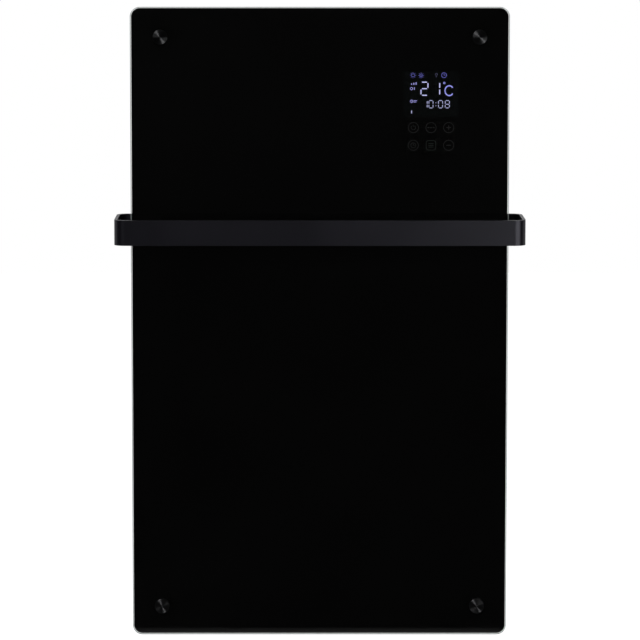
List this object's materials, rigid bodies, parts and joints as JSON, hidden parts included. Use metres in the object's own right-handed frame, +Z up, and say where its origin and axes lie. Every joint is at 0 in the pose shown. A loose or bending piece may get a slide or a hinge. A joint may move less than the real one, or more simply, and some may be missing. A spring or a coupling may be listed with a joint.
{
  "type": "wall-mounted glass convector heater",
  "caption": "Wall-mounted convector heater: black glass front with a touch display over a slim steel housing, with a flat towel rail bent round the front.",
  "frame": {"origin": "centre of the wall bracket's four screw holes, on the wall plane", "axes": "+X right as seen from the room, -Y out of the wall into the room, +Z up"},
  "size_m": [0.518, 0.14, 0.806],
  "materials": {
    "black_glass": "gloss",
    "turned_metal": "turned, dark",
    "clear_plastic": "gloss",
    "black_powder": "fine powder coat",
    "rail_paint": "satin powder coat",
    "zinc_steel": "zinc plated",
    "aluminium": "satin",
    "stainless": "satin",
    "brass": "satin",
    "screw_black": "black oxide",
    "black_plastic": "fine grain",
    "switch_plastic": "semi gloss",
    "rubber": "matt",
    "foam": "matt",
    "ceramic": "matt",
    "board_green": "lacquered",
    "relay_blue": "gloss",
    "coil_yellow": "tape",
    "capacitor_black": "gloss",
    "terminal_green": "gloss",
    "white_nylon": "matt",
    "display_glass": "gloss",
    "spring_steel": "bright",
    "wire_red": "silicone sleeve",
    "wire_brown": "silicone sleeve",
    "ribbon_grey": "matt"
  },
  "bodies": {
    "heater": {"front_glass": "black_glass", "glass_caps": "turned_metal", "cap_bushes": "clear_plastic", "glass_pads": "rubber", "glass_spacers": "aluminium", "rivet_nuts": "zinc_steel", "back_casing": "black_powder", "front_plate": "black_powder", "casing_screws": "screw_black", "outlet_grille": "black_powder", "inlet_grille": "black_powder", "towel_rail": "rail_paint", "rail_bracket_left": "rail_paint", "rail_bracket_right": "rail_paint", "rail_screws": "screw_black", "rail_nuts": "zinc_steel", "wall_bracket": "zinc_steel", "lock_tabs": "zinc_steel", "lock_screws": "zinc_steel", "wall_buffers": "rubber", "switch_housing": "switch_plastic", "cable_gland": "black_plastic", "gland_nut": "black_plastic", "earth_stud": "brass", "heating_elements": "aluminium", "heater_rods": "stainless", "element_bushes": "ceramic", "element_brackets": "zinc_steel", "heat_shield": "aluminium", "duct_wall": "zinc_steel", "wire_grommet": "rubber", "thermal_cutout": "ceramic", "thermal_fuse": "spring_steel", "room_sensor": "black_plastic", "power_board": "board_green", "board_posts": "white_nylon", "relays": "relay_blue", "transformer": "coil_yellow", "capacitors": "capacitor_black", "terminal_block": "terminal_green", "display_carrier": "black_plastic", "display_gasket": "foam", "display_screws": "zinc_steel", "lcd_module": "display_glass", "display_board": "board_green", "touch_springs": "spring_steel", "element_wires": "wire_red", "switch_wires": "wire_brown", "display_ribbon": "ribbon_grey"},
    "rocker": {"switch_rocker": "switch_plastic"}
  },
  "joints": [
    {"name": "mains_switch", "type": "hinge", "parent": "heater", "child": "rocker", "pos_m": [0.22, -0.0446, -0.37], "axis": [0, 1, 0], "range_deg": [0, 16]}
  ]
}
